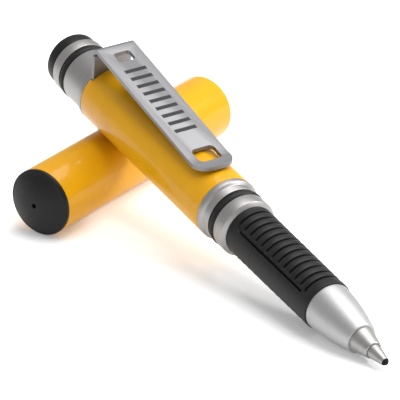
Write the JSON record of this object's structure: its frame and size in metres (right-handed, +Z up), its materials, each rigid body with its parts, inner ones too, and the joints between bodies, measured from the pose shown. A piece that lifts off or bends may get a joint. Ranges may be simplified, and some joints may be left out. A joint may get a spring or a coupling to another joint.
{
  "type": "capped detector pen",
  "caption": "Capped marking pen for checking banknotes, opened and lying across its removed cap, with sheet clip, sealed collars, ribbed grip and metal nose.",
  "frame": {"origin": "centre of the whole object's footprint, on the surface it lies on", "axes": "+Z up, +X along the pen in plan towards the nib, +Y across the pen towards the cap's open mouth"},
  "size_m": [0.1103, 0.0546, 0.0311],
  "materials": {
    "barrel_yellow": "gloss",
    "cap_yellow": "gloss",
    "satin_silver": "satin",
    "clip_steel": "bead-blasted",
    "spring_steel": "drawn wire",
    "bright_steel": "polished",
    "black_plastic": "satin moulded",
    "black_rubber": "matt",
    "tube_plastic": "natural",
    "ink_fibre": "soaked felt",
    "nib_fibre": "pressed fibre"
  },
  "bodies": {
    "barrel": {"barrel": "barrel_yellow", "tail_collar": "satin_silver", "tail_o_ring": "black_rubber", "tail_plug": "black_plastic", "clip_foot": "clip_steel", "refill_spring": "spring_steel"},
    "clip": {"clip_arm": "clip_steel"},
    "refill": {"ink_tube": "tube_plastic", "ink_tube_plug": "black_plastic", "ink_wick": "ink_fibre", "nib_holder": "bright_steel", "nib": "nib_fibre"},
    "section": {"front_collar": "satin_silver", "front_o_ring": "black_rubber", "grip_core": "black_plastic", "grip_sleeve": "black_rubber", "nose_cone": "satin_silver", "nose_tip": "satin_silver"},
    "cap": {"cap_tube": "cap_yellow", "cap_end_plug": "black_plastic", "inner_cap": "tube_plastic"}
  },
  "joints": [
    {"name": "cap_slide", "type": "slide", "parent": "barrel", "child": "cap", "axis": [0.3907, -0.9205, 0], "range_m": [0, 0.045]},
    {"name": "clip_flex", "type": "hinge", "parent": "barrel", "child": "clip", "pos_m": [-0.03491, -0.00302, 0.02958], "axis": [0, -1, 0], "range_deg": [0, 5], "stiffness_Nm_per_rad": 2, "springref_deg": -1.72},
    {"name": "section_travel", "type": "slide", "parent": "barrel", "child": "refill", "axis": [0.9812, 0, -0.193], "range_m": [0, 0.006]},
    {"name": "section_turn", "type": "hinge", "parent": "refill", "child": "section", "pos_m": [0.00356, -0.00302, 0.01167], "axis": [0.9812, 0, -0.193], "range_deg": [0, 2881]}
  ],
  "couplings": [
    {"joint": "section_turn", "follows": "section_travel", "rad_per_m": 8377.6}
  ]
}
